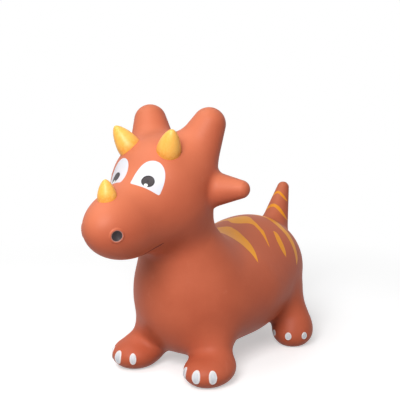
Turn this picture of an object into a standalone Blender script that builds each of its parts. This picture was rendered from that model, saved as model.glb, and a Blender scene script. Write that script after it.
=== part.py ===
"""Bouncy ride-on horned dinosaur: an air-filled soft vinyl toy for a small child.

One hollow vinyl skin, blown up through a valve in the belly. It stands on four soft feet, and bends
at the neck, the tail and the two ears. Nose at -Y, +Z up, soles at zero height.
"""
import math

import bmesh
import bpy
import numpy as np
from mathutils import Matrix, Vector

for old in list(bpy.data.objects):
    bpy.data.objects.remove(old)
toy = bpy.data.collections.new("ride_on_dinosaur")
cutters = bpy.data.collections.new("cutters")
bpy.context.scene.collection.children.link(toy)
bpy.context.scene.collection.children.link(cutters)

# Vinyl skin: its wall, and the gap left between touching pieces
WALL = 0.002
GAP = 0.0003

# Barrel, with its belly this high above the floor, and the chest and rump at its ends
BARREL_WIDTH = 0.256
BARREL_LENGTH = 0.330
BARREL_HEIGHT = 0.206
BARREL_Y = 0.054
BELLY_LIFT = 0.026
BARREL_Z = BELLY_LIFT + BARREL_HEIGHT / 2
BACK_Z = BELLY_LIFT + BARREL_HEIGHT
CHEST_WIDTH = 0.192
CHEST_LENGTH = 0.175
CHEST_HEIGHT = 0.218
CHEST_INSET = 0.050
CHEST_DROP = 0.091
CHEST_Y = BARREL_Y - BARREL_LENGTH / 2 + CHEST_INSET
CHEST_Z = BACK_Z - CHEST_DROP
RUMP_WIDTH = 0.206
RUMP_LENGTH = 0.202
RUMP_HEIGHT = 0.192
RUMP_INSET = 0.048
RUMP_DROP = 0.084
RUMP_Y = BARREL_Y + BARREL_LENGTH / 2 - RUMP_INSET
RUMP_Z = BACK_Z - RUMP_DROP
BODY_FILLET = 0.060

# Front legs and feet, below the chest
FRONT_HIP_X = 0.046
FRONT_HIP_AHEAD = 0.002
FRONT_HIP_Y = CHEST_Y - FRONT_HIP_AHEAD
FRONT_HIP_Z = 0.081
FRONT_HIP_WIDTH = 0.086
FRONT_ANKLE_X = 0.078
FRONT_ANKLE_AHEAD = 0.024
FRONT_ANKLE_Y = FRONT_HIP_Y - FRONT_ANKLE_AHEAD
FRONT_ANKLE_Z = 0.037
FRONT_ANKLE_WIDTH = 0.063
FRONT_FOOT_X = 0.080
FRONT_FOOT_AHEAD = 0.020
FRONT_FOOT_Y = FRONT_ANKLE_Y - FRONT_FOOT_AHEAD
FRONT_FOOT_Z = 0.025
FRONT_FOOT_WIDTH = 0.087
FRONT_FOOT_LENGTH = 0.105
FRONT_FOOT_HEIGHT = 0.058

# Hind legs and feet, below the rump
HIND_HIP_X = 0.083
HIND_HIP_AHEAD = 0.010
HIND_HIP_Y = RUMP_Y - HIND_HIP_AHEAD
HIND_HIP_Z = 0.095
HIND_HIP_WIDTH = 0.066
HIND_ANKLE_X = 0.108
HIND_ANKLE_AHEAD = 0.005
HIND_ANKLE_Y = HIND_HIP_Y - HIND_ANKLE_AHEAD
HIND_ANKLE_Z = 0.043
HIND_ANKLE_WIDTH = 0.070
HIND_FOOT_X = 0.109
HIND_FOOT_AHEAD = 0.006
HIND_FOOT_Y = HIND_ANKLE_Y - HIND_FOOT_AHEAD
HIND_FOOT_Z = 0.026
HIND_FOOT_WIDTH = 0.077
HIND_FOOT_LENGTH = 0.080
HIND_FOOT_HEIGHT = 0.060
LEG_FILLET = 0.030
FOOT_FILLET = 0.015

# Tail, behind the rump
TAIL_ROOT_BEHIND = 0.081
TAIL_ROOT_RISE = 0.029
TAIL_ROOT_Y = RUMP_Y + TAIL_ROOT_BEHIND
TAIL_ROOT_Z = RUMP_Z + TAIL_ROOT_RISE
TAIL_ROOT_WIDTH = 0.074
TAIL_REACH = 0.053
TAIL_RISE = 0.107
TAIL_TIP_Y = TAIL_ROOT_Y + TAIL_REACH
TAIL_TIP_Z = TAIL_ROOT_Z + TAIL_RISE
TAIL_TIP_WIDTH = 0.026
TAIL_FILLET = 0.030

# Neck above the chest, then skull and snout
NECK_BASE_AHEAD = 0.0035
NECK_BASE_RISE = 0.048
NECK_BASE_Y = CHEST_Y - NECK_BASE_AHEAD
NECK_BASE_Z = CHEST_Z + NECK_BASE_RISE
NECK_BASE_WIDTH = 0.147
NECK_REACH = 0.0455
NECK_RISE = 0.116
NECK_TOP_Y = NECK_BASE_Y - NECK_REACH
NECK_TOP_Z = NECK_BASE_Z + NECK_RISE
NECK_TOP_WIDTH = 0.131
SKULL_WIDTH = 0.176
SKULL_LENGTH = 0.170
SKULL_HEIGHT = 0.184
SKULL_AHEAD = 0.027
SKULL_RISE = 0.0405
SKULL_Y = NECK_TOP_Y - SKULL_AHEAD
SKULL_Z = NECK_TOP_Z + SKULL_RISE
SNOUT_WIDTH = 0.110
SNOUT_LENGTH = 0.192
SNOUT_HEIGHT = 0.1205
SNOUT_AHEAD = 0.091
SNOUT_DROP = 0.044
SNOUT_Y = SKULL_Y - SNOUT_AHEAD
SNOUT_Z = SKULL_Z - SNOUT_DROP
NECK_FILLET = 0.040
SNOUT_FILLET = 0.042

# Crest lobes on top of the skull, and the ears at its sides
LOBE_ROOT_X = 0.039
LOBE_ROOT_BEHIND = 0.0325
LOBE_ROOT_RISE = 0.0445
LOBE_ROOT_Y = SKULL_Y + LOBE_ROOT_BEHIND
LOBE_ROOT_Z = SKULL_Z + LOBE_ROOT_RISE
LOBE_ROOT_WIDTH = 0.094
LOBE_TIP_X = 0.062
LOBE_TIP_BEHIND = 0.053
LOBE_TIP_RISE = 0.107
LOBE_TIP_Y = SKULL_Y + LOBE_TIP_BEHIND
LOBE_TIP_Z = SKULL_Z + LOBE_TIP_RISE
LOBE_TIP_WIDTH = 0.060
LOBE_FILLET = 0.028
EAR_ROOT_X = 0.078
EAR_ROOT_BEHIND = 0.046
EAR_ROOT_DROP = 0.0015
EAR_ROOT_Y = SKULL_Y + EAR_ROOT_BEHIND
EAR_ROOT_Z = SKULL_Z - EAR_ROOT_DROP
EAR_ROOT_WIDTH = 0.062
EAR_TIP_X = 0.129
EAR_TIP_BEHIND = 0.048
EAR_TIP_RISE = 0.0025
EAR_TIP_Y = SKULL_Y + EAR_TIP_BEHIND
EAR_TIP_Z = SKULL_Z + EAR_TIP_RISE
EAR_TIP_WIDTH = 0.033
EAR_FILLET = 0.012

# Where the skin bends: shares along a limb, and the ball there against the limb's own width
NECK_FLEX_SHARE = 0.50
NECK_BALL_SHARE = 1.15
TAIL_FLEX_SHARE = 0.38
TAIL_BALL_SHARE = 1.22
EAR_FLEX_SHARE = 0.28
EAR_BALL_SHARE = 1.20
ROOM_WIDTH_SHARE = 1.04

# How far a foot rises into its leg when the child bounces, and the balls that part foot from leg
FOOT_TRAVEL = 0.016
FOOT_CLEARANCE = 0.002
FRONT_BALL_SHARE = 1.06
HIND_BALL_SHARE = 1.15

# Horns. Angles turn outwards from straight ahead, then rise: first for the place, then for the tip
BROW_HORN_WIDTH = 0.041
BROW_HORN_HEIGHT = 0.042
BROW_HORN_PLACE_DEG = (50, 53)
BROW_HORN_TIP_DEG = (50, 56)
NOSE_HORN_WIDTH = 0.0315
NOSE_HORN_HEIGHT = 0.028
NOSE_HORN_PLACE_DEG = (0, 43.5)
NOSE_HORN_TIP_DEG = (0, 82)
HORN_ROOT_SHARE = 0.60
HORN_SWELL = 1.4
HORN_BLUNT = 0.60

# Toenails, from the inner to the outer one of each foot
NAIL_NAMES = ("inner", "middle", "outer")
NAIL_SIZE_SHARES = (0.78, 1.0, 0.94)
FRONT_NAIL_TURNS_DEG = (-28, 6, 40)
HIND_NAIL_TURNS_DEG = (-34, 16, 64)
NAIL_RISE_DEG = 3
FRONT_NAIL_WIDTH = 0.0165
FRONT_NAIL_HEIGHT = 0.033
HIND_NAIL_WIDTH = 0.0135
HIND_NAIL_HEIGHT = 0.0165
NAIL_PROUD = 0.002

# Valve seat in the belly, and the plug pushed into it
VALVE_BORE_WIDTH = 0.0112
VALVE_COLLAR_WIDTH = 0.0176
VALVE_COLLAR_HEIGHT = 0.010
VALVE_FLANGE_WIDTH = 0.026
VALVE_FLANGE_THICK = 0.0018
PLUG_HEAD_WIDTH = 0.018
PLUG_HEAD_THICK = 0.0016
PLUG_SHANK_LENGTH = 0.011
PLUG_TIP_SHARE = 0.7
PLUG_TAPER_SHARE = 0.3

# Facets
SKIN_FACET = 0.010
FACETS_KEPT_SHARE = 0.17
SNAP_SHARE = 0.15
WELD_SHARE = 0.01
RELAX_SHARE = 0.5
RELAX_ROUNDS = 4
SETTLE_ROUNDS = 12
PROBE_SHARE = 0.01
BEADS_PER_LIMB = 7
BEAD_ROUNDS = 3
SQUASH_BALL_ROUNDS = 2
BEND_BALL_SIDES = 64
BEND_BALL_RINGS = 24
ROOM_SIDES = 48
HORN_RINGS = 7
HORN_SIDES = 18
NAIL_SIDES = 12
NAIL_RINGS = 6
VALVE_SIDES = 24
CREASE_DEG = 40

# Finishes
TERRACOTTA = (0.50, 0.155, 0.082, 1.0)
HORN_YELLOW = (0.95, 0.50, 0.10, 1.0)
NAIL_WHITE = (0.80, 0.82, 0.83, 1.0)
VALVE_WHITE = (0.83, 0.83, 0.80, 1.0)
SKIN_ROUGHNESS = 0.5
VALVE_ROUGHNESS = 0.35

OTHER_SIDE = np.array((-1.0, 1.0, 1.0))
CROSSWISE = (1, 0, 0)
UPRIGHT = (0, 0, 1)


class Swell:
    """A rounded swelling of the skin, given by its middle and its overall sizes."""

    def __init__(self, middle, sizes, fillet, paired=False):
        self.middle = np.array(middle)
        self.radii = np.array(sizes) / 2
        self.fillet = fillet
        self.paired = paired

    def distance(self, points):
        away = points - self.middle
        inner = np.linalg.norm(away / self.radii, axis=1)
        outer = np.linalg.norm(away / self.radii ** 2, axis=1)
        return inner * (inner - 1.0) / outer

    def beads(self):
        return [(self.middle, self.radii)]


class Limb:
    """A round tapering limb of the skin, from its root to its tip."""

    def __init__(self, root, tip, root_width, tip_width, fillet, paired=False):
        self.root = np.array(root)
        self.tip = np.array(tip)
        self.root_radius = root_width / 2
        self.tip_radius = tip_width / 2
        self.fillet = fillet
        self.paired = paired

    def distance(self, points):
        reach = self.tip - self.root
        share = np.clip((points - self.root) @ reach / (reach @ reach), 0.0, 1.0)
        away = points - self.root - share[:, None] * reach
        return np.linalg.norm(away, axis=1) - self.radius_at(share)

    def radius_at(self, share):
        return self.root_radius + (self.tip_radius - self.root_radius) * share

    def point_at(self, share):
        return self.root + (self.tip - self.root) * share

    def aim(self):
        return (self.tip - self.root) / np.linalg.norm(self.tip - self.root)

    def beads(self):
        shares = np.linspace(0.0, 1.0, BEADS_PER_LIMB)
        return [(self.point_at(share), np.full(3, self.radius_at(share))) for share in shares]


CHEST = Swell((0, CHEST_Y, CHEST_Z), (CHEST_WIDTH, CHEST_LENGTH, CHEST_HEIGHT), BODY_FILLET)
BARREL = Swell((0, BARREL_Y, BARREL_Z), (BARREL_WIDTH, BARREL_LENGTH, BARREL_HEIGHT), BODY_FILLET)
RUMP = Swell((0, RUMP_Y, RUMP_Z), (RUMP_WIDTH, RUMP_LENGTH, RUMP_HEIGHT), BODY_FILLET)
FRONT_LEG = Limb((FRONT_HIP_X, FRONT_HIP_Y, FRONT_HIP_Z), (FRONT_ANKLE_X, FRONT_ANKLE_Y, FRONT_ANKLE_Z),
                 FRONT_HIP_WIDTH, FRONT_ANKLE_WIDTH, LEG_FILLET, paired=True)
FRONT_FOOT = Swell((FRONT_FOOT_X, FRONT_FOOT_Y, FRONT_FOOT_Z),
                   (FRONT_FOOT_WIDTH, FRONT_FOOT_LENGTH, FRONT_FOOT_HEIGHT), FOOT_FILLET, paired=True)
HIND_LEG = Limb((HIND_HIP_X, HIND_HIP_Y, HIND_HIP_Z), (HIND_ANKLE_X, HIND_ANKLE_Y, HIND_ANKLE_Z),
                HIND_HIP_WIDTH, HIND_ANKLE_WIDTH, LEG_FILLET, paired=True)
HIND_FOOT = Swell((HIND_FOOT_X, HIND_FOOT_Y, HIND_FOOT_Z),
                  (HIND_FOOT_WIDTH, HIND_FOOT_LENGTH, HIND_FOOT_HEIGHT), FOOT_FILLET, paired=True)
TAIL = Limb((0, TAIL_ROOT_Y, TAIL_ROOT_Z), (0, TAIL_TIP_Y, TAIL_TIP_Z),
            TAIL_ROOT_WIDTH, TAIL_TIP_WIDTH, TAIL_FILLET)
NECK = Limb((0, NECK_BASE_Y, NECK_BASE_Z), (0, NECK_TOP_Y, NECK_TOP_Z),
            NECK_BASE_WIDTH, NECK_TOP_WIDTH, NECK_FILLET)
SKULL = Swell((0, SKULL_Y, SKULL_Z), (SKULL_WIDTH, SKULL_LENGTH, SKULL_HEIGHT), NECK_FILLET)
SNOUT = Swell((0, SNOUT_Y, SNOUT_Z), (SNOUT_WIDTH, SNOUT_LENGTH, SNOUT_HEIGHT), SNOUT_FILLET)
LOBE = Limb((LOBE_ROOT_X, LOBE_ROOT_Y, LOBE_ROOT_Z), (LOBE_TIP_X, LOBE_TIP_Y, LOBE_TIP_Z),
            LOBE_ROOT_WIDTH, LOBE_TIP_WIDTH, LOBE_FILLET, paired=True)
EAR = Limb((EAR_ROOT_X, EAR_ROOT_Y, EAR_ROOT_Z), (EAR_TIP_X, EAR_TIP_Y, EAR_TIP_Z),
           EAR_ROOT_WIDTH, EAR_TIP_WIDTH, EAR_FILLET, paired=True)
FORMS = (CHEST, BARREL, RUMP, FRONT_LEG, FRONT_FOOT, HIND_LEG, HIND_FOOT,
         TAIL, NECK, SKULL, SNOUT, LOBE, EAR)


def filleted(first, second, fillet):
    """Union of two distances, with a smooth fillet where they meet."""
    overlap = np.maximum(fillet - np.abs(first - second), 0.0) / fillet
    return np.minimum(first, second) - overlap * overlap * fillet / 4


def skin_distance(points):
    """Distance of each point from the outside of the skin, below zero inside it."""
    distance = None
    for form in FORMS:
        own = form.distance(points)
        if form.paired:
            own = filleted(own, form.distance(points * OTHER_SIDE), form.fillet)
        distance = own if distance is None else filleted(distance, own, form.fillet)
    return distance


def skin_slope(points):
    """Direction in which the distance from the skin grows, at each point."""
    probe = WALL * PROBE_SHARE
    slope = np.empty_like(points)
    for axis in range(3):
        step = np.zeros(3)
        step[axis] = probe
        slope[:, axis] = (skin_distance(points + step) - skin_distance(points - step)) / (2 * probe)
    return slope


def settle(points):
    """Points moved onto the outside of the skin."""
    for _ in range(SETTLE_ROUNDS):
        slope = skin_slope(points)
        points = points - skin_distance(points)[:, None] * slope / (slope ** 2).sum(axis=1)[:, None]
    return points


def outward(points):
    """Unit directions square to the skin."""
    slope = skin_slope(points)
    return slope / np.linalg.norm(slope, axis=1)[:, None]


def on_skin(start, direction):
    """The point where a line from inside the toy leaves the skin."""
    place = np.array([start], dtype=float) + direction * GAP
    while skin_distance(place)[0] < 0:
        place = place + direction * GAP
    return settle(place)[0]


def facing(turn_deg, rise_deg):
    """Unit direction that turns outwards from straight ahead and rises above level."""
    turn = math.radians(turn_deg)
    rise = math.radians(rise_deg)
    return np.array((math.sin(turn) * math.cos(rise), -math.cos(turn) * math.cos(rise), math.sin(rise)))


def evaluated_mesh(body):
    graph = bpy.context.evaluated_depsgraph_get()
    return bpy.data.meshes.new_from_object(body.evaluated_get(graph))


def guide(mesh, name):
    """An object that helps to make the toy and isn't part of it."""
    body = bpy.data.objects.new(name, mesh)
    cutters.objects.link(body)
    body.hide_render = True
    body.display_type = "WIRE"
    return body


def primitive_guide(name):
    """The primitive that was just added, as a guide."""
    body = bpy.context.object
    for collection in body.users_collection:
        collection.objects.unlink(body)
    mesh = body.data
    mesh.transform(body.matrix_basis)
    bpy.data.objects.remove(body)
    return guide(mesh, name)


def consumed(body):
    """The evaluated mesh of a guide, which is then removed."""
    mesh = evaluated_mesh(body)
    bpy.data.objects.remove(body)
    return mesh


def mirrored(mesh, name):
    """The same mesh on the other side of the toy."""
    copy = mesh.copy()
    copy.name = name
    copy.transform(Matrix.Diagonal((*OTHER_SIDE, 1)))
    copy.flip_normals()
    return copy


def opposite(cutter):
    """The same cutter on the other side of the toy."""
    return guide(mirrored(evaluated_mesh(cutter), cutter.name), cutter.name)


def rough_skin():
    """The forms as one closed rough mesh, before it settles on the skin."""
    ball = bmesh.new()
    bmesh.ops.create_icosphere(ball, subdivisions=BEAD_ROUNDS, radius=1)
    bead = bpy.data.meshes.new("bead")
    ball.to_mesh(bead)
    ball.free()
    shape = bmesh.new()
    for form in FORMS:
        for side in (1, -1) if form.paired else (1,):
            for middle, radii in form.beads():
                placed = bead.copy()
                placed.transform(Matrix.Translation(middle * (side, 1, 1)) @ Matrix.Diagonal((*radii, 1)))
                shape.from_mesh(placed)
    mesh = bpy.data.meshes.new("rough_skin")
    shape.to_mesh(mesh)
    shape.free()
    body = guide(mesh, "rough_skin")
    remesh = body.modifiers.new("One surface", "REMESH")
    remesh.mode = "VOXEL"
    remesh.voxel_size = SKIN_FACET
    return consumed(body)


def settle_all(shape):
    for vertex, place in zip(shape.verts, settle(np.array([v.co for v in shape.verts]))):
        vertex.co = place


def relaxed(mesh):
    """Even facets, settled on the skin."""
    shape = bmesh.new()
    shape.from_mesh(mesh)
    for _ in range(RELAX_ROUNDS):
        bmesh.ops.smooth_vert(shape, verts=shape.verts, factor=RELAX_SHARE,
                              use_axis_x=True, use_axis_y=True, use_axis_z=True)
        settle_all(shape)
    shape.to_mesh(mesh)
    shape.free()
    return mesh


def thinned(mesh):
    """Fewer facets where the skin is nearly flat."""
    body = guide(mesh, "even_skin")
    decimate = body.modifiers.new("Fewer facets", "DECIMATE")
    decimate.ratio = FACETS_KEPT_SHARE
    return consumed(body)


def half_skin():
    """The left half of the skin, open at the middle plane, with flat closed soles."""
    shape = bmesh.new()
    shape.from_mesh(thinned(relaxed(rough_skin())))
    settle_all(shape)
    snap = SKIN_FACET * SNAP_SHARE
    for normal in ((1, 0, 0), (0, 0, 1)):
        bmesh.ops.bisect_plane(shape, geom=shape.verts[:] + shape.edges[:] + shape.faces[:], dist=snap,
                               plane_co=(0, 0, 0), plane_no=normal, use_snap_center=True, clear_inner=True)
    bmesh.ops.remove_doubles(shape, verts=shape.verts, dist=snap)
    for axis in (0, 2):
        flat = [face for face in shape.faces if all(vertex.co[axis] < GAP for vertex in face.verts)]
        bmesh.ops.delete(shape, geom=flat, context="FACES")
    bmesh.ops.delete(shape, geom=[edge for edge in shape.edges if edge.is_wire], context="EDGES")
    rims = [edge for edge in shape.edges if edge.is_boundary and all(v.co.z < GAP for v in edge.verts)]
    bmesh.ops.edgeloop_fill(shape, edges=rims)
    bmesh.ops.recalc_face_normals(shape, faces=shape.faces)
    bmesh.ops.triangulate(shape, faces=shape.faces)
    mesh = bpy.data.meshes.new("half_skin")
    shape.to_mesh(mesh)
    shape.free()
    return mesh


def whole_skin():
    """The closed outside of the skin, alike on both sides."""
    body = guide(half_skin(), "whole_skin")
    mirror = body.modifiers.new("Other side", "MIRROR")
    mirror.use_clip = True
    mirror.merge_threshold = WALL * WELD_SHARE
    return consumed(body)


def walled(outside):
    """The skin with its wall, hollow inside."""
    body = guide(outside.copy(), "walled_skin")
    wall = body.modifiers.new("Wall", "SOLIDIFY")
    wall.thickness = WALL
    wall.offset = -1.0
    wall.use_even_offset = True
    return consumed(body)


def seat_cutter(outside):
    """The skin grown by the gap, for cutting the underside of what sits on it."""
    body = guide(outside.copy(), "skin_seat")
    lift = body.modifiers.new("Gap", "DISPLACE")
    lift.strength = GAP
    lift.mid_level = 0.0
    return body


def cut(body, cutter, operation):
    """Add one exact Boolean of the cutter to the body."""
    boolean = body.modifiers.new(cutter.name, "BOOLEAN")
    boolean.object = cutter
    boolean.operation = operation
    boolean.solver = "EXACT"


def solid_of(source, steps, name):
    """A clean closed mesh from the source mesh and its cuts."""
    body = guide(source.copy(), name)
    for cutter, operation in steps:
        cut(body, cutter, operation)
    mesh = consumed(body)
    shape = bmesh.new()
    shape.from_mesh(mesh)
    bmesh.ops.remove_doubles(shape, verts=shape.verts, dist=WALL * WELD_SHARE)
    bmesh.ops.dissolve_degenerate(shape, edges=shape.edges, dist=WALL * WELD_SHARE)
    bmesh.ops.triangulate(shape, faces=shape.faces)
    shape.to_mesh(mesh)
    shape.free()
    mesh.name = name
    return mesh


def squash_ball(middle, radius):
    """A ball round a foot, for parting the foot from its leg."""
    bpy.ops.mesh.primitive_ico_sphere_add(subdivisions=SQUASH_BALL_ROUNDS, radius=radius, location=middle)
    return primitive_guide("squash_ball")


def bend_ball(middle, radius, hinge):
    """A ball where the skin bends, round about its hinge line, so that its two sides slide freely."""
    poles = Vector(hinge).to_track_quat("Z", "Y").to_euler()
    bpy.ops.mesh.primitive_uv_sphere_add(segments=BEND_BALL_SIDES, ring_count=BEND_BALL_RINGS,
                                         radius=radius, location=middle, rotation=poles)
    return primitive_guide("bend_ball")


def beyond(limb, share, hinge, ball_radius, gap, room_radius, reach):
    """A round room past a bend, in front of its ball, that the moving end of a limb fills."""
    middle = Vector(limb.point_at(share))
    aim = Vector(limb.aim())
    bpy.ops.mesh.primitive_cylinder_add(vertices=ROOM_SIDES, radius=room_radius, depth=reach,
                                        location=middle + aim * reach / 2,
                                        rotation=aim.to_track_quat("Z", "Y").to_euler())
    room = primitive_guide("room")
    cut(room, bend_ball(middle, ball_radius - gap, hinge), "DIFFERENCE")
    return room


def turned(name, profile, sides, place, aim):
    """A turned piece from its profile of (radius, height) points, run down its outer side."""
    mesh = bpy.data.meshes.new(name)
    points = [(radius, 0.0, height) for radius, height in profile]
    mesh.from_pydata(points, [(i, i + 1) for i in range(len(points) - 1)], [])
    body = guide(mesh, name)
    screw = body.modifiers.new("Turned", "SCREW")
    screw.steps = sides
    screw.render_steps = sides
    screw.use_merge_vertices = True
    screw.merge_threshold = WALL * WELD_SHARE
    result = consumed(body)
    result.transform(Matrix.Translation(place) @ Vector(aim).to_track_quat("Z", "Y").to_matrix().to_4x4())
    return result


def horn(name, place, aim, width, height):
    """A blunt horn with bulging sides, seated on the skin."""
    shares = [1 - ring / HORN_RINGS for ring in range(HORN_RINGS + 1)]
    profile = [(width / 2 * (1 - share ** HORN_SWELL) ** HORN_BLUNT, height * share) for share in shares]
    root = height * HORN_ROOT_SHARE
    profile += [(width / 2, -root), (0.0, -root)]
    return solid_of(turned(name, profile, HORN_SIDES, place, aim), [(skin_seat, "DIFFERENCE")], name)


def toenail(name, place, width, height):
    """A low oval toenail draped over the front of a foot."""
    normal = outward(np.array([place]))[0]
    across = np.cross((0, 0, 1), normal)
    across = across / np.linalg.norm(across)
    up = np.cross(normal, across)
    shape = bmesh.new()
    bmesh.ops.create_uvsphere(shape, u_segments=NAIL_SIDES, v_segments=NAIL_RINGS, radius=1)
    plan = np.array([vertex.co for vertex in shape.verts])
    spots = settle(place + plan[:, :1] * across * width / 2 + plan[:, 1:2] * up * height / 2)
    spots = spots + outward(spots) * (GAP + NAIL_PROUD * np.maximum(plan[:, 2:], 0.0))
    for vertex, spot in zip(shape.verts, spots):
        vertex.co = spot
    mesh = bpy.data.meshes.new(name)
    shape.to_mesh(mesh)
    shape.free()
    return mesh


def finish(name, color, roughness):
    material = bpy.data.materials.new(name)
    material.use_nodes = True
    shader = material.node_tree.nodes["Principled BSDF"]
    shader.inputs["Base Color"].default_value = color
    shader.inputs["Roughness"].default_value = roughness
    shader.inputs["Metallic"].default_value = 0.0
    return material


def piece(name, mesh, pivot, color=TERRACOTTA, roughness=SKIN_ROUGHNESS, parent=None):
    """A named piece of the toy, with its origin on the pivot that it moves about."""
    mesh.transform(Matrix.Translation(-Vector(pivot)))
    mesh.materials.clear()
    mesh.materials.append(finish(name, color, roughness))
    mesh.shade_smooth()
    mesh.set_sharp_from_angle(angle=math.radians(CREASE_DEG))
    body = bpy.data.objects.new(name, mesh)
    toy.objects.link(body)
    body.location = pivot
    if parent:
        body.parent = parent
        body.location = Vector(pivot) - parent.matrix_world.translation
    bpy.context.view_layer.update()
    return body


def pair(name, mesh, pivot, color=TERRACOTTA, parents=(None, None)):
    """The left piece and its mirrored right one, as a pair of objects."""
    twin = mirrored(mesh, name + "_right")
    left = piece(name + "_left", mesh, pivot, color, parent=parents[0])
    right = piece(name + "_right", twin, pivot * OTHER_SIDE, color, parent=parents[1])
    return left, right


outside = whole_skin()
shell = walled(outside)
skin_seat = seat_cutter(outside)

# Rooms of the moving ends: what lies in one moves, and the still skin keeps a gap to it
neck_ball = NECK.radius_at(NECK_FLEX_SHARE) * NECK_BALL_SHARE
head_reach = SNOUT_LENGTH + SKULL_LENGTH + SKULL_HEIGHT
tail_ball = TAIL.radius_at(TAIL_FLEX_SHARE) * TAIL_BALL_SHARE
tail_reach = TAIL_TIP_Z - TAIL_ROOT_Z + TAIL_ROOT_WIDTH
ear_ball = EAR.radius_at(EAR_FLEX_SHARE) * EAR_BALL_SHARE
ear_reach = EAR_TIP_X - EAR_ROOT_X + EAR_ROOT_WIDTH
rooms = {}
still_rooms = {}
for end, limb, share, hinge, ball, width, reach in (
        ("head", NECK, NECK_FLEX_SHARE, CROSSWISE, neck_ball, head_reach, head_reach),
        ("tail", TAIL, TAIL_FLEX_SHARE, CROSSWISE, tail_ball, tail_ball * ROOM_WIDTH_SHARE, tail_reach),
        ("ear", EAR, EAR_FLEX_SHARE, UPRIGHT, ear_ball, ear_ball * ROOM_WIDTH_SHARE, ear_reach)):
    rooms[end] = beyond(limb, share, hinge, ball, 0, width, reach)
    still_rooms[end] = beyond(limb, share, hinge, ball, GAP, width, reach)

# Feet, and the leg skin that folds above them
leg_reach = FOOT_TRAVEL + FOOT_CLEARANCE
hip_cuts = []
foot_kits = {}
for end, foot, length, share in (("front", FRONT_FOOT, FRONT_FOOT_LENGTH, FRONT_BALL_SHARE),
                                 ("hind", HIND_FOOT, HIND_FOOT_LENGTH, HIND_BALL_SHARE)):
    sole_radius = length / 2 * share
    hip_radius = sole_radius + leg_reach
    sole_ball = squash_ball(foot.middle, sole_radius)
    ankle_ball = squash_ball(foot.middle, sole_radius + GAP)
    calf_ball = squash_ball(foot.middle, hip_radius)
    hip_ball = squash_ball(foot.middle, hip_radius + GAP)
    leg_cuts = [(calf_ball, "INTERSECT"), (ankle_ball, "DIFFERENCE")]
    foot_kits[end] = (solid_of(shell, [(sole_ball, "INTERSECT")], end + "_foot"),
                      solid_of(shell, leg_cuts, end + "_leg_skin"))
    hip_cuts += [(hip_ball, "DIFFERENCE"), (opposite(hip_ball), "DIFFERENCE")]

# Hole for the valve, at the lowest point of the barrel
down = np.array((0.0, 0.0, -1.0))
hole_radius = VALVE_COLLAR_WIDTH / 2 + GAP
hole_rim = on_skin(BARREL.middle + (hole_radius, 0, 0), down)
bpy.ops.mesh.primitive_cylinder_add(vertices=VALVE_SIDES, radius=hole_radius, depth=VALVE_COLLAR_HEIGHT * 2,
                                    location=(0, BARREL_Y, hole_rim[2]))
valve_hole = primitive_guide("valve_hole")

# The still body, the head and the tail
torso_cuts = [(still_rooms["head"], "DIFFERENCE"), (still_rooms["tail"], "DIFFERENCE"),
              (valve_hole, "DIFFERENCE")]
head_cuts = [(rooms["head"], "INTERSECT"), (still_rooms["ear"], "DIFFERENCE"),
             (opposite(still_rooms["ear"]), "DIFFERENCE")]
piece("torso_skin", solid_of(shell, torso_cuts + hip_cuts, "torso_skin"), (0, 0, 0))
head = piece("head_skin", solid_of(shell, head_cuts, "head_skin"), NECK.point_at(NECK_FLEX_SHARE))
piece("tail", solid_of(shell, [(rooms["tail"], "INTERSECT")], "tail"), TAIL.point_at(TAIL_FLEX_SHARE))

# Ears and horns
pair("ear", solid_of(shell, [(rooms["ear"], "INTERSECT")], "ear"), EAR.point_at(EAR_FLEX_SHARE),
     parents=(head, head))
brow = on_skin(SKULL.middle, facing(*BROW_HORN_PLACE_DEG))
nose = on_skin(SNOUT.middle, facing(*NOSE_HORN_PLACE_DEG))
pair("brow_horn", horn("brow_horn", brow, facing(*BROW_HORN_TIP_DEG), BROW_HORN_WIDTH, BROW_HORN_HEIGHT),
     brow, HORN_YELLOW, parents=(head, head))
piece("nose_horn", horn("nose_horn", nose, facing(*NOSE_HORN_TIP_DEG), NOSE_HORN_WIDTH, NOSE_HORN_HEIGHT),
      nose, HORN_YELLOW, parent=head)

# Legs, feet and toenails
for end, foot, turns, width, height in (
        ("front", FRONT_FOOT, FRONT_NAIL_TURNS_DEG, FRONT_NAIL_WIDTH, FRONT_NAIL_HEIGHT),
        ("hind", HIND_FOOT, HIND_NAIL_TURNS_DEG, HIND_NAIL_WIDTH, HIND_NAIL_HEIGHT)):
    foot_mesh, leg_mesh = foot_kits[end]
    pair(end + "_leg_skin", leg_mesh, foot.middle)
    both_feet = pair(end + "_foot", foot_mesh, foot.middle)
    for word, turn, size in zip(NAIL_NAMES, turns, NAIL_SIZE_SHARES):
        toe = on_skin(foot.middle, facing(turn, NAIL_RISE_DEG))
        name = "_".join((end, word, "toenail"))
        pair(name, toenail(name, toe, width * size, height * size), toe, NAIL_WHITE, parents=both_feet)

# Valve seat and plug
bore_radius = VALVE_BORE_WIDTH / 2
collar_radius = VALVE_COLLAR_WIDTH / 2
flange_radius = VALVE_FLANGE_WIDTH / 2
shank_radius = bore_radius - GAP
plug_radius = PLUG_HEAD_WIDTH / 2
flange_top = hole_rim[2] - GAP
flange_foot = flange_top - VALVE_FLANGE_THICK
collar_top = flange_top + VALVE_COLLAR_HEIGHT
plug_top = flange_foot - GAP
plug_foot = plug_top - PLUG_HEAD_THICK
shank_top = plug_top + PLUG_SHANK_LENGTH
taper_foot = shank_top - PLUG_SHANK_LENGTH * PLUG_TAPER_SHARE
seat_profile = [(bore_radius, collar_top), (collar_radius, collar_top), (collar_radius, flange_top),
                (flange_radius, flange_top), (flange_radius, flange_foot), (bore_radius, flange_foot),
                (bore_radius, collar_top)]
plug_profile = [(0.0, shank_top), (shank_radius * PLUG_TIP_SHARE, shank_top), (shank_radius, taper_foot),
                (shank_radius, plug_top), (plug_radius, plug_top), (plug_radius, plug_foot), (0.0, plug_foot)]
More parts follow.
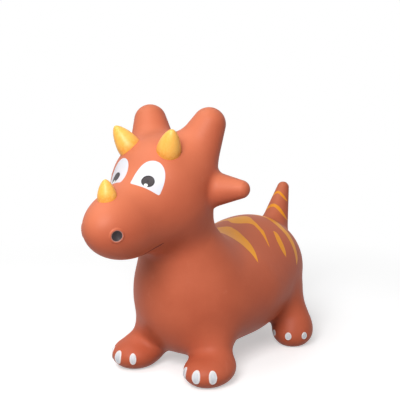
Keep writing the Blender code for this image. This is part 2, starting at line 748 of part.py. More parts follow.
for name, profile in (("valve_seat", seat_profile), ("valve_plug", plug_profile)):
    mesh = solid_of(turned(name, profile, VALVE_SIDES, (0, BARREL_Y, 0), (0, 0, 1)), [], name)
    piece(name, mesh, (0, BARREL_Y, plug_top), VALVE_WHITE, VALVE_ROUGHNESS)

for leftover in list(cutters.objects):
    bpy.data.objects.remove(leftover)
bpy.data.collections.remove(cutters)
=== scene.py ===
"""Looks of the bouncy ride-on dinosaur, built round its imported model."""
import math

import bmesh
import bpy
import numpy as np
from mathutils import Matrix, Vector


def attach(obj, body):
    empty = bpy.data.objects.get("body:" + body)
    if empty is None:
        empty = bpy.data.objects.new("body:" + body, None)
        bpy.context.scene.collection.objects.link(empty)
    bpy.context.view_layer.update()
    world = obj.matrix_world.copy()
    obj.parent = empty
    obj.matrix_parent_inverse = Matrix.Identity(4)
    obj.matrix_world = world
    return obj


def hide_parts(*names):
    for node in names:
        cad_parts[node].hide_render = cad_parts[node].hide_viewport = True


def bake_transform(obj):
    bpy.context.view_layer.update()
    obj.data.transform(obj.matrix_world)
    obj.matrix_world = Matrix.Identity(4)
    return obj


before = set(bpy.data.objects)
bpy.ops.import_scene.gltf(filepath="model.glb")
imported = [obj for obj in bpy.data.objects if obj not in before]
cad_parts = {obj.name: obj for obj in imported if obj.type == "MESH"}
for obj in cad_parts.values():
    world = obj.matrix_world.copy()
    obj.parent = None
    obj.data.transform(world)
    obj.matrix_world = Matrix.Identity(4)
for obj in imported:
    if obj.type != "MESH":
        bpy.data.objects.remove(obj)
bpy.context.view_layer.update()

# Studio
# A plain white floor, wide soft lamps and a camera at the photograph's viewing angle, a little above
# the toy's head and to the left of its nose.
CAMERA_PLACE = (0.8405, -1.278, 0.5838)
CAMERA_DOWN_DEG = 10.4
CAMERA_TURN_DEG = 33.7
CAMERA_LENS_MM = 75.4
SENSOR_MM = 36.0
FLOOR_WIDTH = 40.0
FLOOR_SHADE = 0.80
FLOOR_BOUNCE_SHARE = 0.40
FLOOR_SHINE = 0.45
SHADOW_REACH = 0.50
WHITE_REACH = 1.10
LAMP_TARGET = (0.0, 0.0, 0.25)
# Place, width and power of each lamp
KEY_LAMP = ((0.52, -1.34, 1.12), 0.8, 23.5)
TOP_LAMP = ((-0.75, -0.75, 2.50), 1.8, 22.0)
SIDE_LAMP = ((2.40, -0.60, 1.10), 1.8, 3.0)
SKY_STRENGTH = 0.25


def new_object(name, data):
    """An object in the scene, from its mesh, lamp or camera."""
    made = bpy.data.objects.new(name, data)
    bpy.context.scene.collection.objects.link(made)
    return made


camera = new_object("camera", bpy.data.cameras.new("camera"))
camera.data.lens = CAMERA_LENS_MM
camera.data.sensor_width = SENSOR_MM
camera.data.sensor_height = SENSOR_MM
camera.location = CAMERA_PLACE
camera.rotation_euler = (math.radians(90 - CAMERA_DOWN_DEG), 0, math.radians(CAMERA_TURN_DEG))
bpy.context.scene.camera = camera
bpy.context.scene.view_settings.view_transform = "Standard"


def lamp(name, place, width, power):
    """A round lamp, turned towards the toy."""
    body = new_object(name, bpy.data.lights.new(name, "AREA"))
    body.data.shape = "DISK"
    body.data.size = width
    body.data.energy = power
    body.location = place
    body.rotation_euler = (Vector(LAMP_TARGET) - Vector(place)).to_track_quat("-Z", "Y").to_euler()


lamp("key_lamp", *KEY_LAMP)
lamp("top_lamp", *TOP_LAMP)
lamp("side_lamp", *SIDE_LAMP)


def add_node(tree, kind, sockets=(), **settings):
    """A shader node with its settings, and its sockets set or linked."""
    made = tree.nodes.new("ShaderNode" + kind)
    for name, value in settings.items():
        setattr(made, name, value)
    for key, value in dict(sockets).items():
        if isinstance(value, bpy.types.NodeSocket):
            tree.links.new(value, made.inputs[key])
        else:
            made.inputs[key].default_value = value
    return made


def calc(tree, operation, first, second):
    """Two values put together by this operation."""
    return add_node(tree, "Math", {0: first, 1: second}, operation=operation).outputs[0]


def ramp(tree, value, low, high, to_low=0.0, to_high=1.0):
    """The value taken from one range to another, and kept within it."""
    return add_node(tree, "MapRange", {"Value": value, "From Min": low, "From Max": high,
                                       "To Min": to_low, "To Max": to_high}).outputs[0]


def seen_rays(tree):
    """1 for rays that come from the camera or by way of a reflection, else 0."""
    rays = add_node(tree, "LightPath").outputs
    direct = calc(tree, "MAXIMUM", rays["Is Camera Ray"], rays["Is Glossy Ray"])
    return calc(tree, "MAXIMUM", direct, rays["Is Transmission Ray"])


sky = bpy.data.worlds.new("sky")
bpy.context.scene.world = sky
sky.use_nodes = True
tree = sky.node_tree
backdrop = tree.nodes["Background"]
backdrop.inputs["Color"].default_value = (1.0, 1.0, 1.0, 1.0)
tree.links.new(ramp(tree, seen_rays(tree), 0.0, 1.0, SKY_STRENGTH, 1.0), backdrop.inputs["Strength"])

bpy.ops.mesh.primitive_plane_add(size=FLOOR_WIDTH)
floor = bpy.context.object
floor.name = "floor"
floor_finish = bpy.data.materials.new("white_floor")
floor_finish.use_nodes = True
tree = floor_finish.node_tree
tree.nodes.clear()
shade = ramp(tree, seen_rays(tree), 0.0, 1.0, FLOOR_SHADE * FLOOR_BOUNCE_SHARE, FLOOR_SHADE)
matt = add_node(tree, "BsdfDiffuse", {"Color": shade})
glow = add_node(tree, "Emission", {"Strength": calc(tree, "MULTIPLY", seen_rays(tree), FLOOR_SHINE)})
near_floor = add_node(tree, "AddShader", {0: matt.outputs[0], 1: glow.outputs[0]})
# Away from the toy and its shadow, the floor goes over into plain white
spot = add_node(tree, "NewGeometry").outputs["Position"]
away = add_node(tree, "VectorMath", {0: spot}, operation="LENGTH").outputs["Value"]
far = add_node(tree, "MapRange", {"Value": away, "From Min": SHADOW_REACH, "From Max": WHITE_REACH},
               interpolation_type="SMOOTHSTEP")
whole_floor = add_node(tree, "MixShader", {0: calc(tree, "MULTIPLY", far.outputs[0], seen_rays(tree)),
                                           1: near_floor.outputs[0],
                                           2: add_node(tree, "Emission").outputs[0]})
add_node(tree, "OutputMaterial", {"Surface": whole_floor.outputs[0]})
floor.data.materials.append(floor_finish)

# The moulded skin
# Body, head, legs, ears and tail of the real toy are one skin of soft vinyl, cast in a heated turning
# mould and blown up with air. It is a smooth union of rounded swellings and tapering limbs.
OTHER_SIDE = np.array((-1.0, 1.0, 1.0))
BODY_FILLET = 0.060
LEG_FILLET = 0.030
FOOT_FILLET = 0.015
SOLE_FILLET = 0.004
VOXEL = 0.0031
SETTLE_ROUNDS = 4
LEAST_SLOPE = 0.05
RELAX_ROUNDS = 6
RELAX_SETTLE_ROUNDS = 2
RELAX_SHARE = 0.5
BEADS_PER_LIMB = 9
PROBE = 0.00002
# Distances within which facets are joined along a cut, held on the middle plane, and sewn to their twins
CUT_MERGE = VOXEL / 5
MIDDLE_NEAR = VOXEL / 20
TWIN_MERGE = VOXEL / 100
# Reaches round mouth line and nostrils within which the facets are halved, one after the other
FINER_REACHES = (0.014, 0.008)
FINER_SHARE = 0.6


class Swell:
    """A rounded swelling of the skin, given by its middle and its overall sizes."""

    def __init__(self, middle, sizes, fillet, paired=False):
        self.middle = np.array(middle)
        self.radii = np.array(sizes) / 2
        self.fillet = fillet
        self.paired = paired

    def distance(self, points):
        away = points - self.middle
        inner = np.linalg.norm(away / self.radii, axis=1)
        outer = np.linalg.norm(away / self.radii ** 2, axis=1)
        return inner * (inner - 1.0) / outer

    def beads(self):
        return [(self.middle, self.radii)]


class Limb:
    """A round tapering limb of the skin, from root to tip, whose rounded ends run smoothly into it."""

    def __init__(self, root, tip, widths, fillet, paired=False):
        reach = np.subtract(tip, root)
        length = np.linalg.norm(reach)
        self.root = np.array(root)
        self.aim = reach / length
        self.radius = widths[0] / 2
        self.taper = (widths[0] - widths[1]) / 2 / length
        self.slant = math.cos(math.atan(self.taper))
        end = length + widths[1] / 2
        self.length = (end - self.radius * self.slant) / (1 - self.taper * self.slant)
        self.fillet = fillet
        self.paired = paired

    def distance(self, points):
        away = points - self.root
        along = away @ self.aim
        aside = np.linalg.norm(away - along[:, None] * self.aim, axis=1)
        along = np.clip(along - aside * self.taper, 0.0, self.length)
        return np.linalg.norm(away - along[:, None] * self.aim, axis=1) - self.ball_radius(along)

    def ball_radius(self, along):
        """Radius of a ball on the axis that touches the taper all round."""
        return (self.radius - self.taper * along) * self.slant

    def beads(self):
        return [(self.root + self.aim * along, np.full(3, self.ball_radius(along)))
                for along in np.linspace(0.0, self.length, BEADS_PER_LIMB)]


CHEST = Swell((0, -0.061, 0.141), (0.192, 0.175, 0.218), BODY_FILLET)
BARREL = Swell((0, 0.054, 0.129), (0.256, 0.330, 0.206), BODY_FILLET)
RUMP = Swell((0, 0.171, 0.148), (0.206, 0.202, 0.192), BODY_FILLET)
FRONT_LEG = Limb((0.046, -0.063, 0.081), (0.078, -0.087, 0.037), (0.086, 0.063), LEG_FILLET, paired=True)
FRONT_FOOT = Swell((0.080, -0.107, 0.025), (0.087, 0.105, 0.058), FOOT_FILLET, paired=True)
HIND_LEG = Limb((0.083, 0.161, 0.095), (0.108, 0.156, 0.043), (0.066, 0.070), LEG_FILLET, paired=True)
HIND_FOOT = Swell((0.109, 0.150, 0.026), (0.077, 0.080, 0.060), FOOT_FILLET, paired=True)
TAIL = Limb((0, 0.252, 0.177), (0, 0.305, 0.284), (0.074, 0.026), 0.030)
NECK = Limb((0, -0.0645, 0.189), (0, -0.110, 0.305), (0.147, 0.131), 0.040)
SKULL = Swell((0, -0.137, 0.3455), (0.176, 0.170, 0.184), 0.040)
SNOUT = Swell((0, -0.228, 0.3015), (0.110, 0.192, 0.1205), 0.042)
LOBE = Limb((0.039, -0.1045, 0.390), (0.062, -0.084, 0.4525), (0.094, 0.060), 0.028, paired=True)
EAR = Limb((0.078, -0.091, 0.344), (0.129, -0.089, 0.348), (0.062, 0.033), 0.012, paired=True)
FORMS = (CHEST, BARREL, RUMP, FRONT_LEG, FRONT_FOOT, HIND_LEG, HIND_FOOT,
         TAIL, NECK, SKULL, SNOUT, LOBE, EAR)

# Mouth line, from the corner of the mouth to the middle of the chin, and a nostril
MOUTH_PATH = ((0.0469, -0.1948, 0.2658), (0.0433, -0.2010, 0.2625), (0.0396, -0.2097, 0.2592),
              (0.0351, -0.2174, 0.2551), (0.0301, -0.2244, 0.2511), (0.0217, -0.2300, 0.2461),
              (0.0111, -0.2330, 0.2426), (0, -0.2340, 0.2414))
MOUTH_HALF_WIDTH = 0.0018
MOUTH_DEPTH = 0.0017
MOUTH_FLOOR = 0.0008
# The groove reaches its full depth a tenth of its length from the corner of the mouth
MOUTH_GROWTH = 10
# Mouth line and nostrils lie within this many of the snout's longest radius
SNOUT_MARGIN = 1.3
NOSTRIL_PLACE = (0.0353, -0.3011, 0.2959)
NOSTRIL_RADIUS = 0.0086
NOSTRIL_DEPTH = 0.0060
NOSTRIL_BOWL = 0.93
NOSTRIL_RIM = 0.0010
NOSTRIL_RIM_AT = 1.22
NOSTRIL_RIM_WIDE = 0.34


def filleted(first, second, fillet):
    """Union of two distances, with a smooth fillet where they meet."""
    overlap = np.maximum(fillet - np.abs(first - second), 0.0) / fillet
    return np.minimum(first, second) - overlap * overlap * fillet / 4


def plain_distance(points):
    """Distance of each point from the blown-up form, below zero inside it."""
    distance = None
    for form in FORMS:
        own = form.distance(points)
        if form.paired:
            own = filleted(own, form.distance(points * OTHER_SIDE), form.fillet)
        distance = own if distance is None else filleted(distance, own, form.fillet)
    return distance


def curve_through(points, steps=12):
    """A dense smooth path through a few points."""
    ends = np.array([points[0], *points, points[-1]], dtype=float)
    path = []
    for before, start, stop, after in zip(ends, ends[1:], ends[2:], ends[3:]):
        for share in np.linspace(0, 1, steps, endpoint=False):
            path.append(0.5 * (2 * start + (stop - before) * share
                               + (2 * before - 5 * start + 4 * stop - after) * share ** 2
                               + (3 * start - before - 3 * stop + after) * share ** 3))
    return np.array([*path, ends[-1]])


def nearest_on(path, points):
    """Distance of each point from a path, and how far along it the nearest place lies, 0 to 1."""
    best = np.full(len(points), np.inf)
    along = np.zeros(len(points))
    for index, (start, stop) in enumerate(zip(path, path[1:])):
        reach = stop - start
        share = np.clip((points - start) @ reach / (reach @ reach), 0.0, 1.0)
        away = np.linalg.norm(points - start - share[:, None] * reach, axis=1)
        closer = away < best
        best[closer] = away[closer]
        along[closer] = (index + share[closer]) / (len(path) - 1)
    return best, along


def bell(values):
    """Smooth hump: 1 at zero, 0 from one on."""
    return np.clip(1 - values ** 2, 0, 1) ** 2


def on_left(points):
    """The points, with those of the right side mirrored to the left."""
    return np.concatenate((np.abs(points[:, :1]), points[:, 1:]), axis=1)


def carved_distance(points):
    """The blown-up form with its mouth line and nostrils pressed in, standing flat on its soles."""
    distance = plain_distance(points)
    left = on_left(points)
    near = np.linalg.norm(left - SNOUT.middle, axis=1) < SNOUT.radii.max() * SNOUT_MARGIN
    if near.any():
        away, along = nearest_on(mouth_path, left[near])
        fade = np.clip(along * MOUTH_GROWTH, 0, 1)
        distance[near] += MOUTH_DEPTH * fade * bell(away / MOUTH_HALF_WIDTH)
        ring = np.linalg.norm(left[near] - NOSTRIL_PLACE, axis=1) / NOSTRIL_RADIUS
        distance[near] += NOSTRIL_DEPTH * bell(ring * NOSTRIL_BOWL)
        distance[near] -= NOSTRIL_RIM * bell((ring - NOSTRIL_RIM_AT) / NOSTRIL_RIM_WIDE)
    floor_distance = -points[:, 2]
    overlap = np.maximum(SOLE_FILLET - np.abs(distance - floor_distance), 0.0) / SOLE_FILLET
    return np.maximum(distance, floor_distance) + overlap * overlap * SOLE_FILLET / 4


def slope_of(distance, points):
    """Direction in which a distance grows, at each point."""
    slope = np.empty_like(points)
    for axis in range(3):
        step = np.zeros(3)
        step[axis] = PROBE
        slope[:, axis] = (distance(points + step) - distance(points - step)) / (2 * PROBE)
    return slope


def settle(points, distance=carved_distance, rounds=SETTLE_ROUNDS):
    """Points moved onto the surface of a distance."""
    for _ in range(rounds):
        slope = slope_of(distance, points)
        size = np.maximum((slope ** 2).sum(axis=1), LEAST_SLOPE)
        points = points - distance(points)[:, None] * slope / size[:, None]
    return points


mouth_path = settle(curve_through(MOUTH_PATH), plain_distance)


def outward(points, distance=carved_distance):
    """Unit directions square to the skin."""
    slope = slope_of(distance, points)
    return slope / np.linalg.norm(slope, axis=1)[:, None]


def places(mesh):
    """The mesh's vertices as an array."""
    flat = np.empty(len(mesh.vertices) * 3)
    mesh.vertices.foreach_get("co", flat)
    return flat.reshape(-1, 3)


def move_all(shape, points):
    """Every vertex of a shape moved to its point."""
    for vertex, place in zip(shape.verts, points):
        vertex.co = place


def remeshed_beads():
    """The forms as one closed rough mesh of small even facets."""
    ball = bmesh.new()
    bmesh.ops.create_icosphere(ball, subdivisions=4, radius=1)
    bead = bpy.data.meshes.new("bead")
    ball.to_mesh(bead)
    ball.free()
    shape = bmesh.new()
    for form in FORMS:
        for side in (1, -1) if form.paired else (1,):
            for middle, radii in form.beads():
                placed = bead.copy()
                placed.transform(Matrix.Translation(middle * (side, 1, 1)) @ Matrix.Diagonal((*radii, 1)))
                shape.from_mesh(placed)
    mesh = bpy.data.meshes.new("beads")
    shape.to_mesh(mesh)
    shape.free()
    body = new_object("beads", mesh)
    remesh = body.modifiers.new("One surface", "REMESH")
    remesh.mode = "VOXEL"
    remesh.voxel_size = VOXEL
    graph = bpy.context.evaluated_depsgraph_get()
    result = bpy.data.meshes.new_from_object(body.evaluated_get(graph))
    bpy.data.objects.remove(body)
    return result


def half_of(mesh):
    """The left half of the skin, with its edge on the middle plane."""
    shape = bmesh.new()
    shape.from_mesh(mesh)
    bmesh.ops.bisect_plane(shape, geom=shape.verts[:] + shape.edges[:] + shape.faces[:], dist=CUT_MERGE,
                           plane_co=(0, 0, 0), plane_no=(1, 0, 0), use_snap_center=True, clear_inner=True)
    bmesh.ops.remove_doubles(shape, verts=shape.verts, dist=CUT_MERGE)
    return shape


def keep_middle(points, middle):
    """The left half's points, held on the middle plane or left of it."""
    points[middle, 0] = 0.0
    points[:, 0] = np.maximum(points[:, 0], 0.0)
    return points


def fine_skin():
    """The whole skin as one mesh of fine facets, alike on both sides, finest at mouth and nostrils."""
    shape = half_of(remeshed_beads())
    middle = np.array([abs(vertex.co.x) < MIDDLE_NEAR for vertex in shape.verts])
    points = np.array([vertex.co for vertex in shape.verts])
    points = keep_middle(settle(points, plain_distance, SETTLE_ROUNDS * 2), middle)
    for _ in range(RELAX_ROUNDS):
        move_all(shape, points)
        bmesh.ops.smooth_vert(shape, verts=shape.verts, factor=RELAX_SHARE,
                              use_axis_x=True, use_axis_y=True, use_axis_z=True)
        points = np.array([vertex.co for vertex in shape.verts])
        points = keep_middle(settle(points, plain_distance, RELAX_SETTLE_ROUNDS), middle)
    move_all(shape, points)
    for reach in FINER_REACHES:
        spots = np.array([vertex.co for vertex in shape.verts])
        close = (nearest_on(mouth_path, spots)[0] < reach * FINER_SHARE) | (
            np.linalg.norm(spots - NOSTRIL_PLACE, axis=1) < reach + NOSTRIL_RADIUS * FINER_SHARE)
        chosen = {vertex for vertex, inside in zip(shape.verts, close) if inside}
        edges = [edge for edge in shape.edges if edge.verts[0] in chosen and edge.verts[1] in chosen]
        bmesh.ops.subdivide_edges(shape, edges=edges, cuts=1, use_grid_fill=True)
    bmesh.ops.triangulate(shape, faces=[face for face in shape.faces if len(face.verts) > 4])
    points = np.array([vertex.co for vertex in shape.verts])
    middle = np.abs(points[:, 0]) < MIDDLE_NEAR
    move_all(shape, keep_middle(settle(points, carved_distance, SETTLE_ROUNDS * 2), middle))
    twin = shape.copy()
    bmesh.ops.transform(twin, matrix=Matrix.Diagonal((*OTHER_SIDE, 1)), verts=twin.verts)
    bmesh.ops.reverse_faces(twin, faces=twin.faces)
    other = bpy.data.meshes.new("other_half")
    twin.to_mesh(other)
    twin.free()
    shape.from_mesh(other)
    seam = [vertex for vertex in shape.verts if abs(vertex.co.x) < TWIN_MERGE]
    bmesh.ops.remove_doubles(shape, verts=seam, dist=TWIN_MERGE)
    return shape


mouth_floor = mouth_path - outward(mouth_path, plain_distance) * MOUTH_FLOOR
skin = fine_skin()


# Paint on the skin
# Eyes, nostrils and stripes are sprayed on the finished skin through masks, alike on both sides. The dark
# line in the mouth groove is painted shade, laid on the same way. Each is kept as a distance from its edge,
# in millimetres, above zero inside it.
EYE_PLACE = (0.0332, -0.2183, 0.3703)
EYE_ACROSS = (0.819, 0.573, 0.0)
EYE_UP = (-0.320, 0.458, 0.829)
EYE_REACH = 0.060
# Edges of the eye in millimetres, across and up from its middle
UPPER_LID_MM = ((-28.9, -3.0), (-22.3, 12.5), (-16.0, 22.9), (-9.2, 30.6), (-1.0, 35.2), (9.8, 35.6),
                (19.6, 30.8), (25.9, 21.1), (27.8, 10.0), (26.0, -2.5), (21.6, -15.2), (18.5, -22.4))
LOWER_LID_MM = ((18.5, -22.4), (15.0, -21.6), (6.7, -17.5), (-2.8, -13.0), (-14.9, -8.4), (-28.9, -3.0))
PUPIL_PLACE_MM = (0.0, 0.0)
PUPIL_RADII_MM = (11.1, 10.3)
GLINT_PLACE_MM = (-3.4, -7.0)
GLINT_RADIUS_MM = 3.2

# The stretch of the barrel that has stripes, and the axis and radius of the round form for them
BARREL_FROM_Y = -0.02
BARREL_TO_Y = 0.245
BARREL_AXIS_Z = 0.130
BARREL_ROUND = 0.115
# Stripes on the barrel: rear edge and front edge of each, from the spine or top end to the tip, as
# degrees round the barrel from the spine and millimetres along it, and whether it runs over the spine
BARREL_STRIPES = (
    (((0, 84.5), (3, 83.6), (8, 79), (16, 73), (24, 65), (34, 57), (41, 50), (46, 44), (53, 34), (59, 25)),
     ((0, 45.5), (4, 44.8), (9, 42), (17, 37), (26, 33), (33, 31), (40, 29), (46, 28), (54, 26), (59, 25)),
     True),
    (((0, 151.5), (3, 150), (7, 145), (11, 138), (20, 128), (26, 122), (31, 118), (38, 107), (45, 97),
      (51, 88.4)),
     ((0, 104), (4, 105.6), (8, 111), (12, 117.5), (17, 120), (22, 116), (31, 108), (40, 98.6), (46, 92),
      (51, 88.4)),
     True),
    (((34, 142), (39, 145), (48, 138), (54, 133), (59, 128), (64, 120)),
     ((34, 142), (42, 130), (47, 124), (54, 119), (59, 118), (64, 120)), False),
    (((0, 207), (5, 206.4), (12, 203.5), (22, 197), (33, 190), (46, 186), (60, 176), (69, 166), (76, 150)),
     ((0, 177), (4, 178), (9, 180), (16, 180), (25, 174), (34, 170), (42, 170), (50, 167), (59, 163),
      (67, 157), (76, 150)),
     True))
TAIL_FROM_Y = 0.24
TAIL_FROM_Z = 0.20
TAIL_ROUND = 0.020
# Stripes on the tail, the same way: degrees round it from its front, and millimetres up from its root
TAIL_STRIPES = (
    (((0, 76), (16, 74.5), (38, 70), (58, 63), (80, 55), (104, 47)),
     ((0, 69), (16, 67), (38, 61), (60, 54), (80, 50), (104, 47)), True),
    (((0, 107), (17, 105), (41, 101), (65, 95), (96, 88)),
     ((0, 101), (17, 99), (41, 94), (65, 90), (96, 88)), True))
FAR_MM = -30.0
MM = 0.001
# Share of the groove's half width that the painted shade of the mouth line covers, and the least of it near
# the corner of the mouth
MOUTH_SHADE_SHARE = 0.95
MOUTH_SHADE_LEAST = 0.5
CREASE_STEP = 0.006
CREASE_STEPS = 4


def inside_by(outline, spots):
    """How far inside a closed outline each spot lies; below zero outside it."""
    best = np.full(len(spots), np.inf)
    within = np.zeros(len(spots), dtype=bool)
    for start, stop in zip(outline, np.roll(outline, -1, axis=0)):
        reach = stop - start
        if not reach.any():
            continue
        share = np.clip((spots - start) @ reach / (reach @ reach), 0.0, 1.0)
        best = np.minimum(best, np.linalg.norm(spots - start - share[:, None] * reach, axis=1))
        if start[1] != stop[1]:
            spans = (start[1] > spots[:, 1]) != (stop[1] > spots[:, 1])
            crossing = start[0] + (spots[:, 1] - start[1]) * reach[0] / reach[1]
            within ^= spans & (spots[:, 0] < crossing)
    return np.where(within, best, -best)


def outline_of(first_edge, second_edge, mirrored):
    """A closed outline from its two edges, with its other half where it crosses the middle."""
    half = np.concatenate((curve_through(first_edge, steps=6), curve_through(second_edge, steps=6)[::-1]))
    return np.concatenate((half, half[::-1] * (-1, 1))) if mirrored else half


def inside_stripes(stripes, radius, spots):
    """How far inside a stripe each spot lies, on a round form of this radius."""
    inside = np.full(len(spots), FAR_MM)
    scale = (math.radians(1) * radius / MM, 1)
    for rear, front, mirrored in stripes:
        outline = outline_of(np.array(rear) * scale, np.array(front) * scale, mirrored)
        inside = np.maximum(inside, inside_by(outline, spots))
    return inside


def eye_spots(points):
    """Places on the eye in millimetres, across and up from its middle."""
    away = points - EYE_PLACE
    return np.stack((away @ EYE_ACROSS, away @ EYE_UP), axis=1) / MM


def oval_by(spots, place, radii):
    """How far inside an oval each spot lies, in millimetres."""
    away = spots - place
    inner = np.linalg.norm(away / radii, axis=1)
    outer = np.maximum(np.linalg.norm(away / np.square(radii), axis=1), 1 / max(radii))
    return -inner * (inner - 1) / outer


def paint_distances(points):
    """Every paint's distance at each point of the skin, in millimetres."""
    left = on_left(points)
    paint = {name: np.full(len(points), FAR_MM)
             for name in ("eye", "pupil", "glint", "nostril", "mouth", "stripe")}
    near = np.linalg.norm(left - EYE_PLACE, axis=1) < EYE_REACH
    if near.any():
        spots = eye_spots(left[near])
        outline = np.concatenate([curve_through(lid, steps=8) for lid in (UPPER_LID_MM, LOWER_LID_MM)])
        paint["eye"][near] = inside_by(outline, spots)
        paint["pupil"][near] = oval_by(spots, PUPIL_PLACE_MM, PUPIL_RADII_MM)
        paint["glint"][near] = GLINT_RADIUS_MM - np.linalg.norm(spots - GLINT_PLACE_MM, axis=1)
    paint["nostril"] = (NOSTRIL_RADIUS - np.linalg.norm(left - NOSTRIL_PLACE, axis=1)) / MM
    near = np.linalg.norm(left - SNOUT.middle, axis=1) < SNOUT.radii.max() * SNOUT_MARGIN
    if near.any():
        # Painted shade along the floor of the mouth groove
        away, along = nearest_on(mouth_floor, left[near])
        grown = np.clip(along * MOUTH_GROWTH, MOUTH_SHADE_LEAST, 1)
        paint["mouth"][near] = (MOUTH_HALF_WIDTH * MOUTH_SHADE_SHARE * grown - away) / MM
    trunk = (left[:, 1] > BARREL_FROM_Y) & (left[:, 1] < BARREL_TO_Y)
    turn = np.arctan2(left[trunk, 0], left[trunk, 2] - BARREL_AXIS_Z) * BARREL_ROUND
    spots = np.stack((turn, left[trunk, 1]), axis=1) / MM
    paint["stripe"][trunk] = inside_stripes(BARREL_STRIPES, BARREL_ROUND, spots)
    tip = (left[:, 1] >= TAIL_FROM_Y) & (left[:, 2] > TAIL_FROM_Z)
    away = left[tip] - TAIL.root
    ahead = np.array((0, -TAIL.aim[2], TAIL.aim[1]))
    turn = np.arctan2(away[:, 0], away @ ahead) * TAIL_ROUND
    spots = np.stack((turn, away @ TAIL.aim), axis=1) / MM
    paint["stripe"][tip] = np.maximum(paint["stripe"][tip], inside_stripes(TAIL_STRIPES, TAIL_ROUND, spots))
    return paint


def creases(points, normals):
    """How deep each point lies in a hollow of the skin, 0 to 1, which sets the painted shade in its
    creases.
    """
    hidden = np.zeros(len(points))
    for step in range(1, CREASE_STEPS + 1):
        lift = CREASE_STEP * step
        hidden += (lift - plain_distance(points + normals * lift)) / lift / CREASE_STEPS
    return np.clip(hidden, 0, 1)


def keep_value(mesh, name, values, kind="FLOAT"):
    """One value or vector stored at each vertex of a mesh."""
    slot = mesh.attributes.new(name, kind, "POINT")
    slot.data.foreach_set("vector" if kind == "FLOAT_VECTOR" else "value",
                          np.ascontiguousarray(values, dtype=np.float32).ravel())


def mixed(tree, share, below, above):
    """Colour that goes from one to the other as the share goes from 0 to 1."""
    return add_node(tree, "Mix", {0: share, 6: below, 7: above}, data_type="RGBA").outputs[2]


def noise(tree, place, scale, detail, roughness):
    """A cloudy value from 0 to 1 over the surface."""
    return add_node(tree, "TexNoise", {"Vector": place, "Scale": scale, "Detail": detail,
                                       "Roughness": roughness}).outputs["Fac"]


def value_of(tree, name):
    """A value stored at the vertices."""
    return add_node(tree, "Attribute", attribute_name=name).outputs["Fac"]


def place_of(tree):
    """The place of each point at rest, so that the looks stay put as the skin moves."""
    return add_node(tree, "Attribute", attribute_name="rest").outputs["Vector"]


def new_effect(name, inputs, outputs):
    """An empty node group with its sockets, its input node and its output node."""
    tree = bpy.data.node_groups.new(name, "ShaderNodeTree")
    for title, kind in inputs:
        tree.interface.new_socket(title, in_out="INPUT", socket_type=kind)
    for title, kind in outputs:
        tree.interface.new_socket(title, in_out="OUTPUT", socket_type=kind)
    return tree, tree.nodes.new("NodeGroupInput"), tree.nodes.new("NodeGroupOutput")


def use_effect(tree, effect, sockets):
    """A shared effect placed in a material."""
    return add_node(tree, "Group", sockets, node_tree=effect)


def new_finish(name):
    """A new material, its node tree and its shader."""
    finish = bpy.data.materials.new(name)
    finish.use_nodes = True
    return finish, finish.node_tree, finish.node_tree.nodes["Principled BSDF"]


def show(tree, shader, color, gloss, relief, depth):
    """The colour, roughness and relief linked to a shader."""
    bump = add_node(tree, "Bump", {"Height": relief, "Strength": 1.0, "Distance": depth})
    for title, value in (("Base Color", color), ("Roughness", gloss), ("Normal", bump.outputs["Normal"])):
        tree.links.new(value, shader.inputs[title])


# Soft matt vinyl: faint clouding, a softly pebbled face, fine grain and a few rubbed places. Each has
# its noise's scale, detail and roughness, and some have the range in which they show.
CLOUDS = (13.0, 4.0, 0.55)
CLOUD_RANGE = (0.32, 0.68)
RUBS = (42.0, 8.0, 0.68)
RUB_RANGE = (0.60, 0.74)
SPECKS = (700.0, 3.0, 0.7)
SPECK_RANGE = (0.58, 0.75)
PEBBLES = (150.0, 1.5, 0.4)
GRAIN = (1100.0, 2.0, 0.6)
PEBBLE_SHARE = 0.75
vinyl_effect, given, made = new_effect(
    "vinyl_face", (("Place", "NodeSocketVector"),),
    (("Clouding", "NodeSocketFloat"), ("Rubbing", "NodeSocketFloat"), ("Height", "NodeSocketFloat"),
     ("Dust", "NodeSocketFloat")))
where = given.outputs["Place"]
clouding = ramp(vinyl_effect, noise(vinyl_effect, where, *CLOUDS), *CLOUD_RANGE)
rubbing = ramp(vinyl_effect, noise(vinyl_effect, where, *RUBS), *RUB_RANGE)
dust = ramp(vinyl_effect, noise(vinyl_effect, where, *SPECKS), *SPECK_RANGE)
pebbles = calc(vinyl_effect, "MULTIPLY", noise(vinyl_effect, where, *PEBBLES), PEBBLE_SHARE)
grain = calc(vinyl_effect, "MULTIPLY", noise(vinyl_effect, where, *GRAIN), 1 - PEBBLE_SHARE)
height = calc(vinyl_effect, "ADD", pebbles, grain)
for title, value in (("Clouding", clouding), ("Rubbing", rubbing), ("Height", height), ("Dust", dust)):
    vinyl_effect.links.new(value, made.inputs[title])

# A sprayed edge, slightly uneven, from a distance in millimetres
SPRAY_WOBBLE = (260.0, 3.0, 0.6)
SPRAY_WOBBLE_MM = 0.22
spray_effect, given, made = new_effect(
    "sprayed_edge",
    (("Distance", "NodeSocketFloat"), ("Place", "NodeSocketVector"), ("Softness", "NodeSocketFloat")),
    (("Mask", "NodeSocketFloat"),))
wobble = noise(spray_effect, given.outputs["Place"], *SPRAY_WOBBLE)
wobble = ramp(spray_effect, wobble, 0.0, 1.0, -SPRAY_WOBBLE_MM, SPRAY_WOBBLE_MM)
uneven = calc(spray_effect, "ADD", given.outputs["Distance"], wobble)
softness = given.outputs["Softness"]
outside = calc(spray_effect, "MULTIPLY", softness, -1.0)
edge = add_node(spray_effect, "MapRange", {"Value": uneven, "From Min": outside, "From Max": softness},
                interpolation_type="SMOOTHSTEP")
spray_effect.links.new(edge.outputs[0], made.inputs["Mask"])

